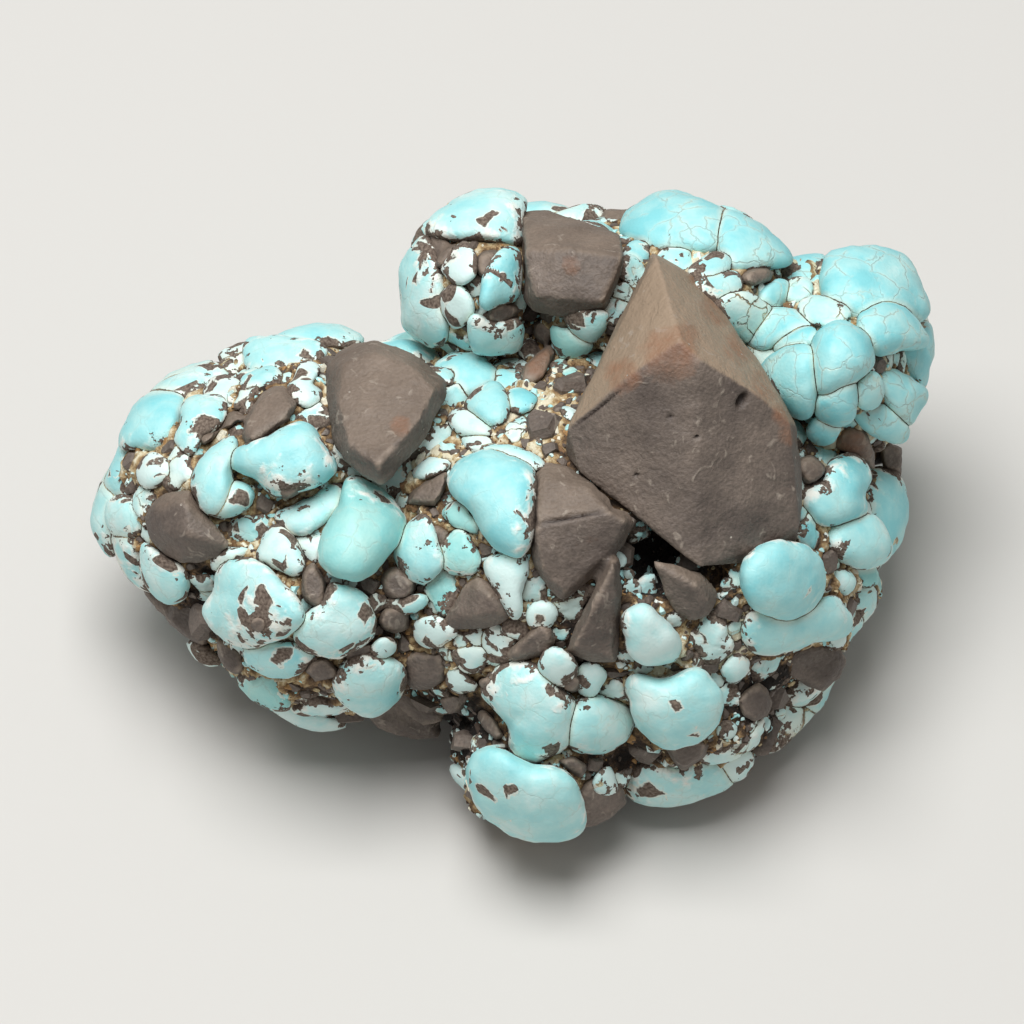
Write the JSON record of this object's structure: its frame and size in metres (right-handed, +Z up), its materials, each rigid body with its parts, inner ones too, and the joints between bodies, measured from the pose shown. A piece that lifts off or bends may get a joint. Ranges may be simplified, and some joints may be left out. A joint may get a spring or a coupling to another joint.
{
  "type": "raw turquoise nugget",
  "caption": "Rough mineral hand specimen: pale botryoidal turquoise grown round angular clasts of grey-brown host rock, resting on one broken flat face.",
  "frame": {"origin": "on the floor under the middle of the stone's bounding box, in the plane of its resting face", "axes": "+Z up from the resting face; +X along the stone's longest side; the show face leans back 35 degrees and looks towards -Y and up"},
  "size_m": [0.085, 0.0667, 0.0532],
  "materials": {
    "turquoise": "waxy, white-rinded",
    "host_rock": "matt, fine-grained",
    "iron_cement": "crumbly, earthy"
  },
  "bodies": {
    "root": {"turquoise_nugget": "turquoise"}
  },
  "joints": []
}
